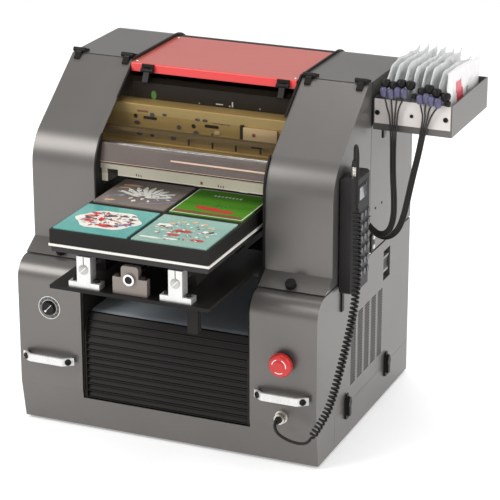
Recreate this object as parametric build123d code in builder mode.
"""Flatbed UV printer: two sheet-metal towers, a bed that slides between them, and an ink tray."""
import os
from math import atan2, cos, degrees, hypot, pi, radians, sin, tan

from build123d import *

os.makedirs("parts", exist_ok=True)

# ---------------------------------------------------------------- driving dimensions (mm)
width = 540.0            # casing, side to side
depth = 455.0            # casing, front face to rear sheet
height = 599.0           # floor to the towers' tops
tower_width = 117.0      # one tower, and one front panel
sheet = 2.0              # casing sheet
seam = 296.0             # floor to the seam between base and towers
foot_height = 5.0
skirt_top = 61.5         # top of the base pan's skirt, under the side panels
wrap = 86.0              # how far a front panel wraps round the side
tower_front = 65.0       # towers' upright face, behind the base's front face
hinge_line = 224.5       # towers' covers and tops meet here
bend_radius = 76.0       # soft bend of the tower covers
shoulder = 34.0          # round top edge of the base's front
top_round = 60.0         # round rear edge of the towers
gap = 0.4                # air between casing pieces
wall = 3.0               # inner walls beside the bed
front_reach = 131.0      # slide plate, ahead of the front face
tray_out = 138.0         # ink tray, beyond the casing's right side
inlet_flange = 2.0       # power inlet, behind the rear sheet

shaft_x = 80.0           # bed's two guide shafts
shaft_z = 347.0
shaft_radius = 8.0
screw_z = 341.5          # bed's leadscrew
screw_radius = 6.0
plate_top = 315.0        # slide plate's upper face
bed_width = 276.0
bed_front = -128.0
bed_depth = 284.0
bed_bottom = 371.0
bed_top = 409.0
running = 0.05           # radial play of shafts and pins that turn or slide

rod_y = 124.0            # carriage's guide rod
rod_z = 476.0
rod_radius = 5.0
beam_front = 166.0       # chassis beam's upright face
belt_y = 141.0
belt_z = 498.0
pulley_radius = 5.0
pulley_x = 232.0
axle = 2.5
shelf_z = belt_z - 4.5   # tabs at the beam's ends, under the pulleys
motor = 42.0

# ---------------------------------------------------------------- places worked out from them
half = width / 2
inner = half - tower_width
case_x = -tray_out / 2                                # casing's middle plane in the part's frame
case_y = (front_reach - depth - inlet_flange) / 2     # casing's front face in the part's frame
slope = (height - 503.5) / (hinge_line - 96.0)        # rise of the slanted covers
bend_z = height - slope * (hinge_line - tower_front)  # where face and slant would meet
bed_middle = bed_front + bed_depth / 2


def level(z):
    """Sketch plane at height z: x to the right, y to the back."""
    return Plane(origin=(case_x, case_y, z))


def side(x):
    """Sketch plane across the machine at x: its x runs back, its y runs up."""
    return Plane(origin=(case_x + x, case_y, 0), x_dir=(0, 1, 0), z_dir=(1, 0, 0))


def face(y):
    """Sketch plane parallel to the front at y: a positive extrusion comes forward."""
    return Plane(origin=(case_x, case_y + y, 0), x_dir=(1, 0, 0), z_dir=(0, -1, 0))


def save(builder, name):
    """Label a finished piece and write it."""
    builder.part.label = name
    export_step(builder.part, f"parts/{name}.step")


def beside(points, distance):
    """A bent line in a plane, moved to its left by distance and mitred at its bends."""
    moved = []
    for i, (x, y) in enumerate(points):
        before = points[max(i - 1, 0)]
        after = points[min(i + 1, len(points) - 1)]
        ways = []
        for a, b in ((before, (x, y)), ((x, y), after)):
            run = hypot(b[0] - a[0], b[1] - a[1])
            if run > 0:
                ways.append((-(b[1] - a[1]) / run, (b[0] - a[0]) / run))
        nx = sum(way[0] for way in ways)
        ny = sum(way[1] for way in ways)
        scale = distance * len(ways) / (nx * nx + ny * ny)
        if len(ways) == 1:
            scale = distance
        moved.append((x + nx * scale, y + ny * scale))
    return moved


def draw_sheet(points, radii, thickness):
    """Face of a bent sheet: points are its outside, radii the bends, the sheet lies to the left."""
    inside_radii = []
    for i, radius in enumerate(radii):
        a, b, c = points[i], points[i + 1], points[i + 2]
        left_turn = (b[0] - a[0]) * (c[1] - b[1]) - (b[1] - a[1]) * (c[0] - b[0]) > 0
        change = -thickness if left_turn else thickness
        inside_radii.append(max(radius + change, 0) if radius > 0 else 0)
    with BuildLine() as edge:
        outside = FilletPolyline(*points, radius=radii)
        inside = FilletPolyline(*beside(points, thickness), radius=inside_radii)
        Line(outside @ 0, inside @ 0)
        Line(outside @ 1, inside @ 1)
    make_face(edge.edges())


def draw_outline(points, radii):
    """Closed face with rounded corners."""
    with BuildLine() as edge:
        FilletPolyline(*points, radius=radii, close=True)
    make_face(edge.edges())


def cord_radii(points, name):
    """Largest arcs that a cord's runs allow; printed, with the path's own numbers."""
    spots = [Vector(*point) for point in points]
    radii = []
    for before, here, after in zip(spots, spots[1:], spots[2:]):
        turn = (here - before).get_angle(after - here)
        shorter = min((here - before).length, (after - here).length)
        radii.append(0.45 * shorter / tan(radians(turn) / 2))
    print(name, "radii", [round(radius, 1) for radius in radii])
    return radii


# ---------------------------------------------------------------- base: pan, feet, panels
foot_spots = [(x, y) for x in (-230, 230) for y in (50, 410)]
foot_bolt = 3.2

with BuildPart() as base_pan:
    with BuildSketch(level(foot_height)):
        with Locations((0, depth / 2 + 6)):
            Rectangle(width - 2 * sheet - 1, depth - 16)
    extrude(amount=sheet)
    with BuildSketch(level(foot_height)):
        for sign in (-1, 1):
            with Locations((sign * (half - sheet / 2), (wrap + gap + depth) / 2)):
                Rectangle(sheet, depth - wrap - gap)
        with Locations((0, depth - sheet / 2)):
            Rectangle(width, sheet)
    extrude(amount=skirt_top - foot_height)
    with BuildSketch(level(foot_height)):
        with Locations((0, depth - 4), (half - 3, depth / 2 + 43), (3 - half, depth / 2 + 43)):
            Rectangle(5, 5)
        with Locations((0, depth - 4)):
            Rectangle(width - 4, 6)
    extrude(amount=sheet)
    with BuildSketch(level(0)):
        with Locations(*foot_spots):
            Circle(foot_bolt)
        with GridLocations(60, 40, 4, 3):
            with Locations((0, depth / 2 - 60)):
                SlotOverall(36, 4, rotation=90)
    extrude(amount=20, mode=Mode.SUBTRACT)
save(base_pan, "base_pan")

with BuildPart() as feet:
    with BuildSketch(level(0)):
        with Locations(*foot_spots):
            Circle(16)
    extrude(amount=foot_height, taper=-8)
    with BuildSketch(level(0)):
        with Locations(*foot_spots):
            Circle(foot_bolt)
    extrude(amount=foot_height, mode=Mode.SUBTRACT)
save(feet, "feet")

# Front panel: one U-shaped sheet. Both legs lean back at the foot, have a round shoulder and
# wrap round the side; a plate across the foot joins them under the grille.
front_edge = [(12, foot_height), (0, 75), (0, seam - 1), (wrap, seam - 1), (wrap, foot_height)]
hollow = [(12 + sheet, -1), (sheet, 75), (sheet, seam - 1 - sheet), (wrap + 1, seam - 1 - sheet)]
hollow += [(wrap + 1, -1)]
lean = 12 / (75 - foot_height)
kick_top = 60.0
kick = [(12, foot_height), (12 - lean * (kick_top - foot_height), kick_top)]
kick += [(kick[1][0] + sheet, kick_top), (12 + sheet, foot_height)]
dial_spot = (-212, 216)
stop_spot = (212, 186)
socket_spot = (210, 90)
handle_z = 128.0
handle_x = 212.0
handle_span = 84.0

with BuildPart() as front_panel:
    for sign in (-1, 1):
        with BuildSketch(side(sign * inner)):
            draw_outline(front_edge, [0, 0, shoulder, 0, 0])
        extrude(amount=sign * tower_width)
        with BuildSketch(side(sign * inner)):
            draw_outline(hollow, [0, 0, shoulder - sheet, 0, 0])
        extrude(amount=sign * (tower_width - sheet), mode=Mode.SUBTRACT)
    with BuildSketch(side(-inner - 1)):
        draw_outline(kick, [0, 0, 0, 0])
    extrude(amount=2 * inner + 2)
    with BuildSketch(face(20)):
        with Locations(stop_spot):
            Circle(11.2)
        with Locations(socket_spot):
            Circle(8.0)
        with Locations(dial_spot):
            Circle(3.0 + running)
    extrude(amount=40, mode=Mode.SUBTRACT)
save(front_panel, "front_panel")

# Louvred grille between the front panels; its top deck runs back under the slide plate.
grille_half = inner - wall
louvre_pitch = 12.3
louvre_count = 12
cheek_line = [(14, 12), (5, 62), (5, 180), (14, 209), (26, 209), (26, 12)]
with BuildPart() as front_grille:
    skin = [(24, 12), (24, 170), (24, 208), (300, 208), (300, 200)]
    with BuildSketch(side(-grille_half)):
        draw_sheet(skin, [0, 20, 3], sheet)
    extrude(amount=2 * grille_half)
    with BuildSketch(side(-grille_half)):
        for i in range(louvre_count):
            foot = 61.5 + i * louvre_pitch
            reach = 6 + max(i - 8, 0) * 3.2
            with BuildLine():
                blade = [(reach, foot), (reach, foot + 1.6), (reach + 2.2, foot + 2.2)]
                blade += [(reach + 7.5, foot + 13), (reach + 9.5, foot + 13), (reach + 4, foot)]
                Polyline(*blade, close=True)
            make_face()
    extrude(amount=2 * grille_half)
    with BuildSketch(side(-grille_half)):
        draw_outline(cheek_line, [0, 0, 20, 0, 0, 0])
    extrude(amount=3)
    with BuildSketch(side(grille_half - 3)):
        draw_outline(cheek_line, [0, 0, 20, 0, 0, 0])
    extrude(amount=3)
save(front_grille, "front_grille")

# Side panels with vent slots; the right one has a pocket for the power switch.
panel_low = skirt_top + gap
panel_high = seam - 0.6
switch_spot = (333, 251)
switch_size = (34, 54)
latch_y = (139, 336)
slot_size = (24, 3.0)
for sign, name in ((-1, "left"), (1, "right")):
    with BuildPart() as side_panel:
        with BuildSketch(side(sign * (half - sheet))):
            with Locations(((wrap + depth - sheet) / 2, (panel_low + panel_high) / 2)):
                Rectangle(depth - wrap - sheet, panel_high - panel_low)
            with Locations((236, 152)):
                with GridLocations(33, 4.9, 5, 25):
                    SlotOverall(slot_size[0], slot_size[1], mode=Mode.SUBTRACT)
            if sign > 0:
                with Locations(switch_spot):
                    Rectangle(*switch_size, mode=Mode.SUBTRACT)
        extrude(amount=sign * sheet)
        if sign > 0:
            with BuildSketch(side(half - sheet - 8)):
                with Locations(switch_spot):
                    Rectangle(switch_size[0] + 2, switch_size[1] + 2)
                    Rectangle(switch_size[0], switch_size[1], mode=Mode.SUBTRACT)
            extrude(amount=8)
            with BuildSketch(side(half - sheet - 9)):
                with Locations(switch_spot):
                    Rectangle(switch_size[0] + 2, switch_size[1] + 2)
            extrude(amount=1)
    save(side_panel, f"side_panel_{name}")

switch_depth = half - 5.0
with BuildPart() as power_switch:
    with BuildSketch(face(switch_spot[0] + 13)):
        with BuildLine():
            rocker = [(switch_depth - 2, -14), (switch_depth + 2.5, -15), (switch_depth + 1, 0)]
            rocker += [(switch_depth + 4.0, 15), (switch_depth - 2, 14)]
            Polyline(*[(x, switch_spot[1] + z) for x, z in rocker], close=True)
        make_face()
    extrude(amount=26)
save(power_switch, "power_switch")

# Rear: a sheet below the bed's way out, with the inlet low on its left.
inlet_spot = (-215, 120)
with BuildPart() as rear_panel:
    with BuildSketch(face(depth)):
        with Locations((0, (panel_low + panel_high) / 2)):
            Rectangle(width, panel_high - panel_low)
        with Locations(inlet_spot):
            Rectangle(28.4, 20.4, mode=Mode.SUBTRACT)
        with Locations((212, 185)):
            with GridLocations(8, 8, 9, 9):
                Circle(2.4, mode=Mode.SUBTRACT)
    extrude(amount=sheet)
save(rear_panel, "rear_panel")

with BuildPart() as engine_rear_cover:
    hood = [(397.5, height - 2), (depth - 1, height - 2), (depth - 1, 436)]
    with BuildSketch(side(-inner + wall)):
        draw_sheet(hood, [top_round - 6], -sheet)
    extrude(amount=2 * (inner - wall))
save(engine_rear_cover, "engine_rear_cover")

with BuildPart() as engine_curtain:
    with BuildSketch(side(-inner + wall)):
        draw_sheet([(beam_front + sheet, 535), (beam_front + sheet, 413), (192, 413)], [3], sheet)
    extrude(amount=2 * (inner - wall))
save(engine_curtain, "engine_curtain")

with BuildPart() as power_inlet:
    with BuildSketch(face(depth + inlet_flange)):
        with Locations(inlet_spot):
            RectangleRounded(50, 24, 4)
    extrude(amount=inlet_flange)
    with BuildSketch(face(depth)):
        with Locations(inlet_spot):
            Rectangle(27.8, 19.8)
    extrude(amount=24)
    with BuildSketch(face(depth + inlet_flange)):
        with Locations(inlet_spot):
            RectangleRounded(24, 16.5, 2)
    extrude(amount=18, mode=Mode.SUBTRACT)
    with BuildSketch(face(depth - 17)):
        for dx, dz in ((-7, -2), (0, 2), (7, -2)):
            with Locations((inlet_spot[0] + dx, inlet_spot[1] + dz)):
                Rectangle(2, 4)
    extrude(amount=-14)
save(power_inlet, "power_inlet")

# ---------------------------------------------------------------- towers
outline = [(16, foot_height + sheet), (3, 75), (3, seam - 3), (36, seam - 3), (tower_front - 3, 318)]
outline += [(tower_front - 3, bend_z + 1), (222, height + 4), (depth - 2.5, height + 4)]
outline += [(depth - 2.5, foot_height + sheet)]
outline_radii = [0, 0, shoulder - 3, 0, 0, bend_radius, 8, top_round, 0]
doorway = (149, 480, 116, 138)      # carriage's way through a wall: middle y, z, then its size
for sign, name in ((-1, "left"), (1, "right")):
    with BuildPart() as inner_wall:
        with BuildSketch(side(sign * (inner - wall))):
            draw_outline(outline, outline_radii)
            with Locations(doorway[:2]):
                Rectangle(*doorway[2:], mode=Mode.SUBTRACT)
        extrude(amount=sign * wall)
    save(inner_wall, f"inner_wall_{name}")

gland_spot = (231, 353)             # where the ink hoses enter the right tower
gland_tab = (208, 331, 376)         # the shell's tab that carries it: front edge, bottom, top
shell_top = [(hinge_line + 1.5, height), (depth, height), (depth, seam + 3)]
cheek_edge = 241.0
for sign, name in ((-1, "left"), (1, "right")):
    start = sign * inner
    with BuildPart() as tower_shell:
        with BuildSketch(side(start)):
            draw_sheet(shell_top, [top_round], -sheet)
        extrude(amount=sign * tower_width)
        with BuildSketch(side(sign * (half - sheet))):
            cheek = [(cheek_edge, height - 1), (depth - 1, height - 1), (depth - 1, seam + 3)]
            cheek += [(cheek_edge, seam + 3)]
            draw_outline(cheek, [0, top_round - 1, 0, 0])
        extrude(amount=sign * sheet)
        if sign > 0:
            with BuildSketch(side(half - sheet)):
                with Locations(((gland_tab[0] + cheek_edge) / 2, (gland_tab[1] + gland_tab[2]) / 2)):
                    Rectangle(cheek_edge - gland_tab[0], gland_tab[2] - gland_tab[1])
            extrude(amount=sheet)
            with BuildSketch(side(half)):
                with Locations(gland_spot):
                    RectangleRounded(30, 30, 8)
            extrude(amount=3)
            with BuildSketch(side(half - 4)):
                with Locations((gland_spot[0] + 32, gland_spot[1] - 35)):
                    Rectangle(32, 32)
            extrude(amount=4.5)
            with BuildSketch(side(half - 5)):
                with Locations((gland_spot[0] + 32, gland_spot[1] - 35)):
                    with GridLocations(0, 14, 1, 2):
                        Circle(5)
            extrude(amount=10, mode=Mode.SUBTRACT)
    save(tower_shell, f"tower_shell_{name}")

# Hinged covers: flared lip, upright face, soft bend, slanted face, and a cheek on the outside.
lip = (34, seam + 1.5)
flare = (tower_front, 316.5)
cover_end = (hinge_line - 1.5, height - 1.5 * slope)
cover_path = [lip, flare, (tower_front, bend_z), cover_end]
knob_x = 208.0
flare_angle = atan2(flare[1] - lip[1], flare[0] - lip[0])
knob_y = lip[0] + 10 * cos(flare_angle)
knob_z = lip[1] + 10 * sin(flare_angle)
knob_axis = (0, -sin(flare_angle), cos(flare_angle))
for sign, name in ((-1, "left"), (1, "right")):
    start = sign * (inner + gap)
    knob_plane = Plane(origin=(case_x + sign * knob_x, case_y + knob_y, knob_z), z_dir=knob_axis)
    with BuildPart() as tower_cover:
        with BuildSketch(side(start)):
            draw_sheet(cover_path, [0, bend_radius], -sheet)
        extrude(amount=sign * (tower_width - gap))
        with BuildSketch(side(sign * (half - sheet))):
            cheek = cover_path + [(hinge_line - 0.5, height - 2.8), (cheek_edge - 1.5, height - 2.8)]
            cheek += [(cheek_edge - 1.5, lip[1])]
            draw_outline(cheek, [0, 0, bend_radius, 0, 0, 0, 0])
            if sign > 0:
                with Locations(((gland_tab[0] + cheek_edge) / 2, (gland_tab[1] + gland_tab[2]) / 2)):
                    Rectangle(cheek_edge - gland_tab[0] + 3, gland_tab[2] - gland_tab[1] + 3,
                              mode=Mode.SUBTRACT)
        extrude(amount=sign * sheet)
        with BuildSketch(knob_plane):
            Circle(3.4)
        extrude(amount=6, both=True, mode=Mode.SUBTRACT)
    save(tower_cover, f"tower_cover_{name}")
    with BuildPart() as thumb_knob:
        with BuildSketch(knob_plane.offset(0.4)):
            Circle(9)
            with PolarLocations(9.7, 20):
                Circle(1.1, mode=Mode.SUBTRACT)
        extrude(amount=8)
        with BuildSketch(knob_plane.offset(0.5)):
            Circle(3.0)
        extrude(amount=-5)
    save(thumb_knob, f"thumb_knob_{name}")

# Hinges: a base with two knuckles and a pin, and a flap whose one knuckle turns on the pin.
pin_radius = 1.5
knuckle = 4.0
hinge_half = 11.0
tower_axis = (hinge_line, height + knuckle + 0.8)
window_axis = (199.5, 587.0)
tower_hinge_x = (166.0, 257.0)
window_hinge_x = (-118.0, 128.0)
base_outline = [(227, height), (240, height), (240, height + 3.4), (228.5, height + 6.5)]
lid_outline = [(200.5, 587), (204.8, 583.5), (204.8, 597), (202, 597)]
slant_point = (212.0, height - slope * (hinge_line - 212.0))
flap_outline = [(222.5, height + 7.4), (221.4, height - 1.7), slant_point]
flap_outline += [(slant_point[0] - 1.8, slant_point[1] + 2.6), (219.6, height + 2.0)]
with BuildPart() as hinge_bases:
    for x in (-tower_hinge_x[1], -tower_hinge_x[0], tower_hinge_x[0], tower_hinge_x[1]):
        with BuildSketch(side(x - hinge_half)):
            draw_outline(base_outline, [0, 0, 0, 0])
            with Locations(tower_axis):
                Circle(knuckle)
        extrude(amount=2 * hinge_half)
        with BuildSketch(side(x - hinge_half / 2)):
            with Locations(tower_axis):
                Circle(knuckle + 1.2)
        extrude(amount=hinge_half, mode=Mode.SUBTRACT)
        with BuildSketch(side(x - hinge_half)):
            with Locations(tower_axis):
                Circle(pin_radius)
        extrude(amount=2 * hinge_half)
    for x in window_hinge_x:
        with BuildSketch(side(x - hinge_half)):
            draw_outline(lid_outline, [0, 0, 0, 0])
            with Locations(window_axis):
                Circle(knuckle)
        extrude(amount=2 * hinge_half)
        with BuildSketch(side(x - hinge_half / 2)):
            with Locations(window_axis):
                Circle(knuckle + 1.2)
        extrude(amount=hinge_half, mode=Mode.SUBTRACT)
        with BuildSketch(side(x - hinge_half)):
            with Locations(window_axis):
                Circle(pin_radius)
        extrude(amount=2 * hinge_half)
save(hinge_bases, "hinge_bases")

for sign, name in ((-1, "left"), (1, "right")):
    with BuildPart() as hinge_flaps:
        for x in tower_hinge_x:
            with BuildSketch(side(sign * x - hinge_half / 2 + gap)):
                draw_outline(flap_outline, [0, 0, 0, 0, 0])
                with Locations(tower_axis):
                    Circle(knuckle)
                    Circle(pin_radius + running, mode=Mode.SUBTRACT)
            extrude(amount=hinge_half - 2 * gap)
    save(hinge_flaps, f"hinge_flaps_{name}")

# ---------------------------------------------------------------- lid and window
lid_half = inner - wall
with BuildPart() as red_lid:
    with BuildSketch(side(-lid_half)):
        draw_sheet([(204.8, 582.5), (204.8, 597.5), (396, 597.5), (396, 588)], [3, 3], -2.5)
    extrude(amount=2 * lid_half)
save(red_lid, "red_lid")

window_drop = 6.0                                   # the window lies this far under the slant
window_crease = (90.0, height - window_drop - slope * (hinge_line - 90.0))
window_low = (72.0, 442.0)
window_end = (201.5, height - window_drop - slope * (hinge_line - 201.5))
with BuildPart() as window:
    with BuildSketch(side(-lid_half + 0.6)):
        draw_sheet([window_low, window_crease, window_end], [8], -3)
    extrude(amount=2 * lid_half - 1.2)
save(window, "window")

with BuildPart() as hinge_flaps_window:
    for x in window_hinge_x:
        with BuildSketch(side(x - hinge_half / 2 + gap)):
            near = [(198.6, window_axis[1] + 3.4), (201.6, window_axis[1] - 3.0)]
            near += [(201.4, window_end[1] - 0.05), (190, window_end[1] - slope * 11.5)]
            near += [(188.5, window_end[1] - slope * 11.5 + 2.2), (196.2, window_axis[1] - 2.0)]
            draw_outline(near, [0, 0, 0, 0, 0, 0])
            with Locations(window_axis):
                Circle(knuckle)
                Circle(pin_radius + running, mode=Mode.SUBTRACT)
        extrude(amount=hinge_half - 2 * gap)
save(hinge_flaps_window, "hinge_flaps_window")

with BuildPart() as media_strip:
    with BuildSketch(face(81)):
        with Locations((16, 446)):
            Rectangle(2 * lid_half - 32, 18)
        with Locations((-lid_half + 7, 438)):
            Rectangle(10, 26)
        with Locations((-lid_half + 20, 451)):
            Rectangle(40, 8)
    extrude(amount=-3)
save(media_strip, "media_strip")

# ---------------------------------------------------------------- print engine
beam_left = -208.0
beam_right = 244.0
beam_low = 471.0
beam_high = 538.0
with BuildPart() as chassis_beam:
    channel = [(beam_front + 34, beam_high), (beam_front, beam_high), (beam_front, beam_low)]
    channel += [(beam_front - 12, beam_low)]
    with BuildSketch(side(beam_left)):
        draw_sheet(channel, [2, 3], sheet)
    extrude(amount=beam_right - beam_left)
    with BuildSketch(face(beam_front - 10)):
        for x, z in ((-125, 516), (-60, 494), (-18, 510), (40, 491), (72, 514), (-95, 486)):
            with Locations((x, z)):
                Circle(4)
        for x, z in ((-98, 515), (15, 513), (112, 516)):
            with Locations((x, z)):
                SlotOverall(26, 6)
        with Locations((96, 490)):
            Rectangle(20, 12)
    extrude(amount=-20, mode=Mode.SUBTRACT)
    with BuildSketch(level(beam_low - 1)):
        for x in (-90, -45, 0, 45, 90):
            with Locations((x, beam_front - 8)):
                Rectangle(10, 5)
    extrude(amount=5, mode=Mode.SUBTRACT)
    for x in (beam_left, beam_right - 3):
        with BuildSketch(side(x)):
            with Locations(((beam_front + rod_y - 8) / 2, rod_z + 3)):
                Rectangle(beam_front - rod_y + 8, 28)
        extrude(amount=3)
    with BuildSketch(level(shelf_z)):
        with Locations(((-pulley_x - motor / 2 + beam_left + 10) / 2, belt_y + 5)):
            Rectangle(beam_left + 10 + pulley_x + motor / 2, motor + 6)
        with Locations((pulley_x, (belt_y - 9 + beam_front + 1) / 2)):
            Rectangle(24, beam_front + 1 - belt_y + 9)
    extrude(amount=2)
    with BuildSketch(level(shelf_z - 1)):
        with Locations((-pulley_x, belt_y), (pulley_x, belt_y)):
            Circle(axle + running)
    extrude(amount=4, mode=Mode.SUBTRACT)
save(chassis_beam, "chassis_beam")

park_x = 200.0                                       # carriage at rest, over the parking station
with BuildPart() as carriage:
    with BuildSketch(side(park_x - 36)):
        body = [(98, 431), (137, 431), (137, 462), (137, 492), (112, 492), (98, 476)]
        draw_outline(body, [2, 2, 0, 3, 8, 6])
    extrude(amount=72)
    with BuildSketch(side(park_x - 36)):
        with Locations((rod_y, rod_z)):
            Circle(rod_radius + running)
    extrude(amount=72, mode=Mode.SUBTRACT)
    with BuildSketch(side(park_x - 10)):
        with Locations((132, 503)):
            Rectangle(4, 22)
    extrude(amount=20)
save(carriage, "carriage")

with BuildPart() as print_head:
    with BuildSketch(level(417)):
        with Locations((park_x - 8, 118)):
            Rectangle(44, 34)
    extrude(amount=14)
    chamfer(print_head.edges().group_by(Axis.Z)[0], 2)
    with BuildSketch(level(420)):
        with Locations((park_x + 26, 118)):
            Rectangle(18, 34)
    extrude(amount=11)
save(print_head, "print_head")

with BuildPart() as drive_belt:
    with BuildSketch(level(belt_z)):
        with Locations((0, belt_y)):
            SlotCenterToCenter(2 * pulley_x, 2 * pulley_radius + 2.4)
            SlotCenterToCenter(2 * pulley_x, 2 * pulley_radius + 0.6, mode=Mode.SUBTRACT)
    extrude(amount=6)
save(drive_belt, "drive_belt")

for x, name, low in ((-pulley_x, "drive_pulley", belt_z - 24), (pulley_x, "idler_pulley", belt_z - 12)):
    with BuildPart() as pulley:
        with BuildSketch(level(belt_z - 1.5)):
            with Locations((x, belt_y)):
                Circle(pulley_radius + 2)
        extrude(amount=1.2)
        with BuildSketch(level(belt_z - 0.5)):
            with Locations((x, belt_y)):
                Circle(pulley_radius)
                with PolarLocations(pulley_radius + 0.1, 16):
                    Circle(0.45, mode=Mode.SUBTRACT)
        extrude(amount=7)
        with BuildSketch(level(belt_z + 6.4)):
            with Locations((x, belt_y)):
                Circle(pulley_radius + 2)
        extrude(amount=1.2)
        with BuildSketch(level(low)):
            with Locations((x, belt_y)):
                Circle(axle)
        extrude(amount=belt_z - low)
    save(pulley, name)

bed_motor_y = 398.0
with BuildPart() as stepper_motors:
    with BuildSketch(level(shelf_z - 40)):
        with Locations((-pulley_x, belt_y)):
            RectangleRounded(motor, motor, 4)
    extrude(amount=40)
    with BuildSketch(level(belt_z - 25)):
        with Locations((-pulley_x, belt_y)):
            Circle(axle + running)
    extrude(amount=30, mode=Mode.SUBTRACT)
    with BuildSketch(face(bed_motor_y)):
        with Locations((0, screw_z)):
            RectangleRounded(motor + 6, motor + 6, 5)
    extrude(amount=-46)
    with BuildSketch(face(bed_motor_y - 1)):
        with Locations((0, screw_z)):
            Circle(screw_radius + running)
    extrude(amount=-20, mode=Mode.SUBTRACT)
save(stepper_motors, "stepper_motors")

with BuildPart() as electronics_box:
    with BuildSketch(level(foot_height + sheet)):
        with Locations((-60, 240)):
            Rectangle(110, 190)
        with Locations((70, 230)):
            Rectangle(100, 150)
    extrude(amount=4)
    with BuildSketch(level(foot_height + sheet + 4)):
        with Locations((-60, 240)):
            Rectangle(104, 180)
    extrude(amount=42)
    with BuildSketch(level(foot_height + sheet + 4)):
        with Locations((70, 230)):
            Rectangle(92, 140)
        with Locations((60, 210)):
            Rectangle(30, 30)
    extrude(amount=2)
    with BuildSketch(level(foot_height + sheet + 6)):
        with Locations((60, 210), (92, 270), (50, 270)):
            Rectangle(24, 24)
    extrude(amount=14)
save(electronics_box, "electronics_box")

# ---------------------------------------------------------------- bed slide
wing_start = 44.0
with BuildPart() as slide_plate:
    with BuildSketch(level(plate_top - 6)):
        with Locations((0, (450 - front_reach) / 2)):
            Rectangle(278, 450 + front_reach)
        with Locations((0, (wing_start + 450) / 2)):
            Rectangle(2 * lid_half, 450 - wing_start)
        with Locations((-110, 190), (110, 190), (-110, 330), (110, 330)):
            Rectangle(44, 90, mode=Mode.SUBTRACT)
    extrude(amount=6)
    with BuildSketch(face(-front_reach + 16)):
        with Locations((104, 286)):
            Rectangle(18, 48)
    extrude(amount=-14)
save(slide_plate, "slide_plate")

support_deep = 20.0
support_y = (bed_front + 2, 428.0)
with BuildPart() as shaft_supports:
    for y in support_y:
        for x in (-shaft_x, shaft_x):
            with BuildSketch(face(y)):
                with Locations((x, plate_top + 5)):
                    Rectangle(54, 10)
                with Locations((x, (plate_top + 368.5) / 2)):
                    Rectangle(24, 368.5 - plate_top)
                with Locations((x, shaft_z)):
                    Circle(shaft_radius, mode=Mode.SUBTRACT)
                with Locations((x, 362)):
                    Rectangle(1.6, 20, mode=Mode.SUBTRACT)
            extrude(amount=-support_deep)
    with BuildSketch(face(bed_front + 4)):
        with Locations((0, plate_top + 14)):
            Rectangle(60, 28)
        with Locations((0, plate_top + 24)):
            RectangleRounded(30, 48, 5)
        with Locations((0, screw_z)):
            Circle(screw_radius + running, mode=Mode.SUBTRACT)
    extrude(amount=-12)
save(shaft_supports, "shaft_supports")

with BuildPart() as guide_shafts:
    with BuildSketch(face(support_y[0])):
        with Locations((-shaft_x, shaft_z), (shaft_x, shaft_z)):
            Circle(shaft_radius)
    extrude(amount=-(support_y[1] + support_deep - support_y[0]))
    with BuildSketch(side(beam_left + 3)):
        with Locations((rod_y, rod_z)):
            Circle(rod_radius)
    extrude(amount=beam_right - beam_left - 6)
save(guide_shafts, "guide_shafts")

with BuildPart() as leadscrew:
    with BuildSketch(face(bed_front + 1)):
        with Locations((0, screw_z)):
            Circle(screw_radius)
    extrude(amount=-(bed_motor_y + 16 - bed_front - 1))
    with BuildSketch(face(bed_front + 3.6)):
        with Locations((0, screw_z)):
            Circle(8)
    extrude(amount=2.6)
    with BuildSketch(face(bed_front + 1.5)):
        with Locations((0, screw_z)):
            Rectangle(8, 1.6)
    extrude(amount=2, mode=Mode.SUBTRACT)
save(leadscrew, "leadscrew")

bearing_y = (bed_middle - 78, bed_middle + 78)
trim_low = bed_bottom + 10
trim_high = trim_low + 4
with BuildPart() as bed_carriage:
    with BuildSketch(level(bed_bottom)):
        with Locations((0, bed_middle)):
            Rectangle(bed_width - 4, bed_depth - 4)
    extrude(amount=trim_low - bed_bottom)
    with BuildSketch(level(trim_low)):
        with Locations((0, bed_middle)):
            Rectangle(bed_width + 3, bed_depth + 3)
    extrude(amount=trim_high - trim_low)
    with BuildSketch(level(332)):
        for y in bearing_y:
            with Locations((-shaft_x, y), (shaft_x, y)):
                Rectangle(36, 40)
        with Locations((0, bed_middle + 10)):
            Rectangle(34, 30)
    extrude(amount=bed_bottom - 332)
    with BuildSketch(level(326)):
        with Locations((0, bed_middle + 10)):
            Rectangle(34, 30)
    extrude(amount=6)
    with BuildSketch(face(bed_front)):
        with Locations((-shaft_x, shaft_z), (shaft_x, shaft_z)):
            Circle(shaft_radius + running)
        with Locations((0, screw_z)):
            Circle(screw_radius + running)
    extrude(amount=-bed_depth, mode=Mode.SUBTRACT)
save(bed_carriage, "bed_carriage")

with BuildPart() as bed_block:
    with BuildSketch(level(trim_high)):
        with Locations((0, bed_middle)):
            Rectangle(bed_width, bed_depth)
    extrude(amount=bed_top - trim_high)
    chamfer(bed_block.edges().group_by(Axis.Z)[-1], 0.8)
save(bed_block, "bed_block")

tile_size = (129, 125)
tile_spots = [(x, y) for x in (-68.5, 68.5) for y in (bed_front + 66, bed_front + 207)]
with BuildPart() as sample_tiles:
    with BuildSketch(level(bed_top)):
        with Locations(*tile_spots):
            Rectangle(*tile_size)
    extrude(amount=2.4)
save(sample_tiles, "sample_tiles")

# ---------------------------------------------------------------- controls on the front
with BuildPart() as dial_knob:
    with BuildSketch(face(-0.6)):
        with Locations(dial_spot):
            Circle(12.5)
    extrude(amount=1.6)
    with BuildSketch(face(-2.2)):
        with Locations(dial_spot):
            Circle(11)
            with PolarLocations(11.5, 24):
                Circle(0.8, mode=Mode.SUBTRACT)
    extrude(amount=4)
    with BuildSketch(face(-0.6)):
        with Locations(dial_spot):
            Circle(3.0)
    extrude(amount=-8)
save(dial_knob, "dial_knob")

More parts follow.
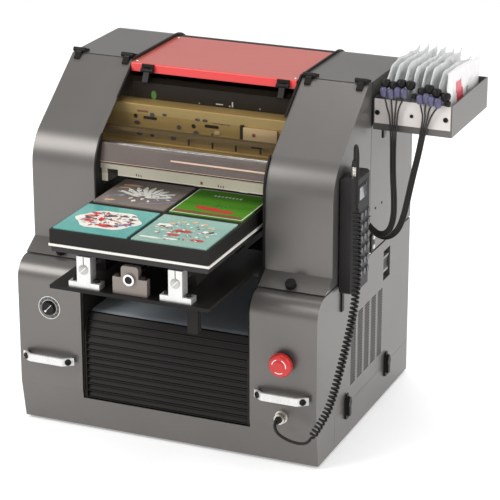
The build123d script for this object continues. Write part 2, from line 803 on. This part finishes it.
with BuildPart() as estop_button:
    with BuildSketch(face(-9)):
        with Locations(stop_spot):
            Circle(20)
    extrude(amount=11)
    fillet(estop_button.edges().group_by(Axis.Y)[0], 6)
    with BuildSketch(face(-9)):
        with Locations(stop_spot):
            Circle(10)
    extrude(amount=-29)
save(estop_button, "estop_button")

with BuildPart() as handles:
    for x in (-handle_x, handle_x):
        with BuildSketch(face(0)):
            for end in (-1, 1):
                with Locations((x + end * handle_span / 2, handle_z)):
                    Circle(4.5)
        extrude(amount=10)
        with BuildSketch(level(handle_z - 6.5)):
            grip = [(-48, -8), (-31, -20), (31, -20), (48, -8)]
            draw_sheet([(x + dx, y) for dx, y in grip], [4, 4], 4)
        extrude(amount=13)
save(handles, "handles")

# ---------------------------------------------------------------- pendant and its curly cord
with BuildPart() as panel_collars:
    with BuildSketch(face(0)):
        with Locations(socket_spot):
            Circle(11)
            Circle(6.0, mode=Mode.SUBTRACT)
        with Locations(stop_spot):
            Circle(17)
            Circle(10.5, mode=Mode.SUBTRACT)
    extrude(amount=3)
    with BuildSketch(face(0)):
        with Locations(socket_spot):
            Circle(8.0)
            Circle(6.0, mode=Mode.SUBTRACT)
        with Locations(stop_spot):
            Circle(11.2)
            Circle(10.5, mode=Mode.SUBTRACT)
    extrude(amount=-12)
save(panel_collars, "panel_collars")

with BuildPart() as cord_plug:
    with BuildSketch(face(2)):
        with Locations(socket_spot):
            Circle(5.9)
    extrude(amount=6)
    with BuildSketch(face(-3.2)):
        with Locations(socket_spot):
            Circle(9)
    extrude(amount=10)
    with BuildSketch(face(-13)):
        with Locations(socket_spot):
            Circle(6.5)
    extrude(amount=11, taper=10)
save(cord_plug, "cord_plug")

pendant_low = 283.0
pendant_high = 480.0
pendant_front = 88.0
pendant_rear = 155.0
key_middle = (pendant_front + 41, 362)
pendant_middle = (pendant_front + pendant_rear) / 2
with BuildPart() as pendant_holder:
    with BuildSketch(side(half + 0.6)):
        with Locations((pendant_middle, 380)):
            Rectangle(52, 180)
    extrude(amount=2.4)
    with BuildSketch(side(half)):
        with Locations((pendant_front + 22, 274)):
            Rectangle(9, 60)
    extrude(amount=3)
save(pendant_holder, "pendant_holder")

with BuildPart() as pendant_body:
    with BuildSketch(level(pendant_low)):
        with Locations((half + 16.5, pendant_middle)):
            Rectangle(27, pendant_rear - pendant_front)
    extrude(amount=pendant_high - pendant_low)
    uprights = pendant_body.edges().filter_by(Axis.Z).sort_by(Axis.Y)
    chamfer(uprights[:2].sort_by(Axis.X)[-1], 8)
    fillet(pendant_body.edges().filter_by(Axis.Z).sort_by(Axis.Y)[-2:], 5)
    chamfer(pendant_body.faces().sort_by(Axis.Z)[-1].edges(), 3)
    chamfer(pendant_body.faces().sort_by(Axis.Z)[0].edges(), 3)
    with BuildSketch(side(half + 20)):
        with Locations(key_middle):
            with GridLocations(16, 20, 3, 6):
                Circle(6.0)
    extrude(amount=20, mode=Mode.SUBTRACT)
save(pendant_body, "pendant_body")

with BuildPart() as pendant_keys:
    with BuildSketch(side(half + 22)):
        with Locations(key_middle):
            with GridLocations(16, 20, 3, 6):
                Circle(5.5)
    extrude(amount=10.4)
save(pendant_keys, "pendant_keys")

plug_x = half + 20
plug_y = 107.0
plug_high = pendant_high + 26
with BuildPart() as pendant_plug:
    with BuildSketch(level(pendant_high)):
        with Locations((plug_x, plug_y)):
            Circle(6.5)
    extrude(amount=16)
    with BuildSketch(level(pendant_high + 16)):
        with Locations((plug_x, plug_y)):
            Circle(5.5)
    extrude(amount=10, taper=8)
save(pendant_plug, "pendant_plug")

lead_width = 5.0
curl_width = 15.0
lead_points = [(plug_x, plug_y, plug_high), (plug_x, plug_y, 518), (half + 21.5, 103.5, 530)]
lead_points += [(half + 27, 94.5, 536), (half + 32.5, 86.5, 525), (half + 34.5, 80.5, 508)]
lead_points += [(half + 35.6, 76.5, 484), (half + 36.7, 73.17, 460), (half + 38, 71, 440)]
curl_points = [(half + 38, 71, 440), (half + 41, 66, 394), (half + 46, 56, 344), (half + 48.5, 43, 298)]
curl_points += [(half + 47, 26, 254), (half + 43, 8, 212), (half + 38, -9, 170), (half + 31, -22, 132)]
curl_points += [(half + 20, -32, 104), (half + 5, -38.6, 77.6)]
tail_points = [(half + 5, -38.6, 77.6), (half + 1.25, -40.25, 71), (half - 10, -42.5, 68)]
tail_points += [(half - 26, -44, 70), (half - 41.5, -44, 75), (half - 53.5, -41.5, 81.5)]
tail_points += [(socket_spot[0], -33, socket_spot[1]), (socket_spot[0], -24, socket_spot[1])]
for points, cord_width, name in ((lead_points, lead_width, "pendant_lead"),
                                 (curl_points, curl_width, "pendant_curl"),
                                 (tail_points, lead_width, "pendant_tail")):
    route = [(case_x + x, case_y + y, z) for x, y, z in points]
    with BuildPart() as cord:
        with BuildLine() as path:
            spine = FilletPolyline(*route, radius=cord_radii(route, name))
        with BuildSketch(Plane(origin=spine @ 0, z_dir=spine % 0)):
            Circle(cord_width / 2)
        sweep()
    length = spine.length
    print(name, "length", round(length), "volume ratio",
          round(cord.part.volume / (length * pi * cord_width ** 2 / 4), 4))
    save(cord, name)

# ---------------------------------------------------------------- ink tray, bags and hoses
tray_left = half + 3
tray_right = half + tray_out
tray_front = 240.0
tray_rear = 436.0
tray_low = 519.0
tray_high = 572.0
tray_middle = (tray_left + tray_right) / 2
tray_span = tray_right - tray_left
with BuildPart() as ink_tray:
    with BuildSketch(level(tray_low)):
        with Locations((tray_middle, (tray_front + tray_rear) / 2)):
            Rectangle(tray_span, tray_rear - tray_front)
    extrude(amount=tray_high - tray_low)
    with BuildSketch(level(tray_low + sheet)):
        with Locations((tray_middle, (tray_front + tray_rear) / 2)):
            Rectangle(tray_span - 2 * sheet, tray_rear - tray_front - 2 * sheet)
    extrude(amount=tray_high, mode=Mode.SUBTRACT)
    with BuildSketch(side(half)):
        with Locations((340, 545)):
            Rectangle(180, 40)
    extrude(amount=4)
    with BuildSketch(side(half + 17)):
        draw_outline([(tray_front + 2, tray_low - 14), (tray_front + 8, tray_low - 14),
                      (tray_front + 24, tray_low + 1), (tray_front + 2, tray_low + 1)], [0, 0, 0, 0])
    extrude(amount=4)
    with BuildSketch(face(tray_front - 0.1)):
        with Locations((tray_middle, (tray_high + tray_low + 12) / 2)):
            Rectangle(tray_span - 5, tray_high - tray_low - 12)
    extrude(amount=2)
save(ink_tray, "ink_tray")

bag_count = 8
bag_pitch = 15.2
bag_first = tray_left + 13
with BuildPart() as ink_bags:
    for i in range(bag_count):
        x = bag_first + i * bag_pitch
        with BuildSketch(level(tray_low + sheet)):
            with Locations((x, 343)):
                Rectangle(10, 168)
        with BuildSketch(level(572)):
            with Locations((x + 0.5, 343)):
                Rectangle(12, 172)
        with BuildSketch(level(622)):
            with Locations((x + 1, 345)):
                Rectangle(3, 160)
        loft(ruled=True)
save(ink_bags, "ink_bags")

fitting_x = [half + 24 + 11.5 * i for i in range(4)] + [half + 80 + 11.5 * i for i in range(4)]
fitting_low = 574.0
with BuildPart() as bag_fittings:
    for i, x in enumerate(fitting_x):
        tall = 4.0 * (i % 2)
        with BuildSketch(level(fitting_low)):
            with Locations((x, 232)):
                Circle(4.6)
        extrude(amount=14 + tall)
        with BuildSketch(level(fitting_low + 14 + tall)):
            with Locations((x, 234)):
                Circle(5.4)
        extrude(amount=9)
        with BuildSketch(face(234)):
            with Locations((x, fitting_low + 18 + tall)):
                Circle(3.4)
        extrude(amount=-23)
save(bag_fittings, "bag_fittings")

hose_width = 10.8                   # a flat bundle of four ink tubes, about 2.7 mm each
hose_y = (225.5, 237.0)             # the two bundles, side by side at the gland
left_hose = [(half + 41, 231, 574), (half + 41, 231, 545), (half + 42, 229, 500)]
left_hose += [(half + 44, hose_y[0], 450), (half + 47.5, hose_y[0], 404), (half + 47, hose_y[0], 374)]
left_hose += [(half + 41, hose_y[0], 352), (half + 28, hose_y[0], 342), (half + 13, hose_y[0], 346.5)]
left_hose += [(half + 3, hose_y[0], 357)]
right_hose = [(half + 97, 231.5, 574), (half + 97, 231.5, 552), (half + 91, 233, 524)]
right_hose += [(half + 84.5, 234.5, 488), (half + 75, hose_y[1], 448), (half + 67, hose_y[1], 406)]
right_hose += [(half + 60, hose_y[1], 372), (half + 50, hose_y[1], 347), (half + 33, hose_y[1], 334)]
right_hose += [(half + 14, hose_y[1], 336), (half + 3, hose_y[1], 347)]
for line, name in ((left_hose, "ink_hose_left"), (right_hose, "ink_hose_right")):
    route = [(case_x + x, case_y + y, z) for x, y, z in line]
    with BuildPart() as hose:
        with BuildLine() as path:
            spine = FilletPolyline(*route, radius=cord_radii(route, name))
        with BuildSketch(Plane(origin=spine @ 0, z_dir=spine % 0)):
            Circle(hose_width / 2)
        sweep()
    length = spine.length
    print(name, "length", round(length), "volume ratio",
          round(hose.part.volume / (length * pi * hose_width ** 2 / 4), 4))
    save(hose, name)

# ---------------------------------------------------------------- side latches
for y, name in ((latch_y[0], "latch_front"), (latch_y[1], "latch_rear")):
    with BuildPart() as latch:
        with BuildSketch(side(half + gap)):
            with Locations((y, 60)):
                RectangleRounded(15, 42, 4)
        extrude(amount=3)
        with BuildSketch(side(half + gap + 3)):
            with Locations((y, 62)):
                RectangleRounded(9, 34, 3)
            with Locations((y, 68)):
                Circle(7)
        extrude(amount=5)
        with BuildSketch(side(half + gap + 3)):
            with Locations((y, 80)):
                Rectangle(7, 10)
        extrude(amount=-2)
    save(latch, name)
